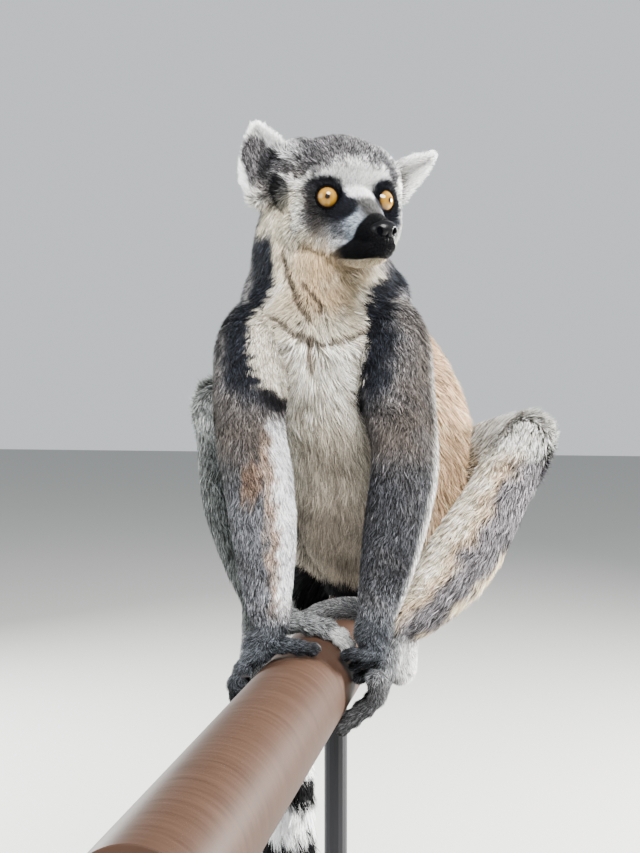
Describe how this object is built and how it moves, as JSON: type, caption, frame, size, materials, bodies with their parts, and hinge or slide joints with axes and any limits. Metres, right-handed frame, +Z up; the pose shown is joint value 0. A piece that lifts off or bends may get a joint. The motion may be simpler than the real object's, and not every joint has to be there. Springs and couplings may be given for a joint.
{
  "type": "ring-tailed lemur display model",
  "caption": "Life-size still model of a lemur squatting on a round rail, tail hanging, on a flat stand; for display and as a prop.",
  "frame": {"origin": "centre of the stand's underside, on the floor", "axes": "+Z up; +Y along the rail, from the front of the animal to its back; +X to the animal's left"},
  "size_m": [0.34, 0.576, 0.7129],
  "materials": {
    "fur_white": "short soft white fur",
    "fur_grey": "dense grizzled grey fur",
    "fur_cream": "long soft cream fur",
    "fur_tan": "dense woolly tan fur",
    "fur_black": "bushy black fur",
    "eye_amber": "wet amber iris with a dark round pupil",
    "nose_black": "moist bare black skin",
    "rail_brown": "worn satin brown paint",
    "stand_black": "satin black paint"
  },
  "bodies": {
    "root": {"head": "fur_white", "ear_left": "fur_white", "ear_right": "fur_white", "eye_left": "eye_amber", "eye_right": "eye_amber", "nose": "nose_black", "neck": "fur_cream", "chest": "fur_cream", "belly": "fur_tan", "upper_arm_left": "fur_grey", "upper_arm_right": "fur_grey", "forearm_left": "fur_grey", "forearm_right": "fur_grey", "hand_left": "fur_grey", "hand_right": "fur_grey", "thigh_left": "fur_grey", "thigh_right": "fur_grey", "shank_left": "fur_grey", "shank_right": "fur_grey", "foot_left": "fur_grey", "foot_right": "fur_grey", "tail_1": "fur_white", "tail_2": "fur_black", "tail_3": "fur_white", "tail_4": "fur_black", "tail_5": "fur_white", "tail_6": "fur_black", "stand_rail": "rail_brown", "stand_base": "stand_black", "stand_rod_front": "stand_black", "stand_rod_back": "stand_black"}
  },
  "joints": []
}
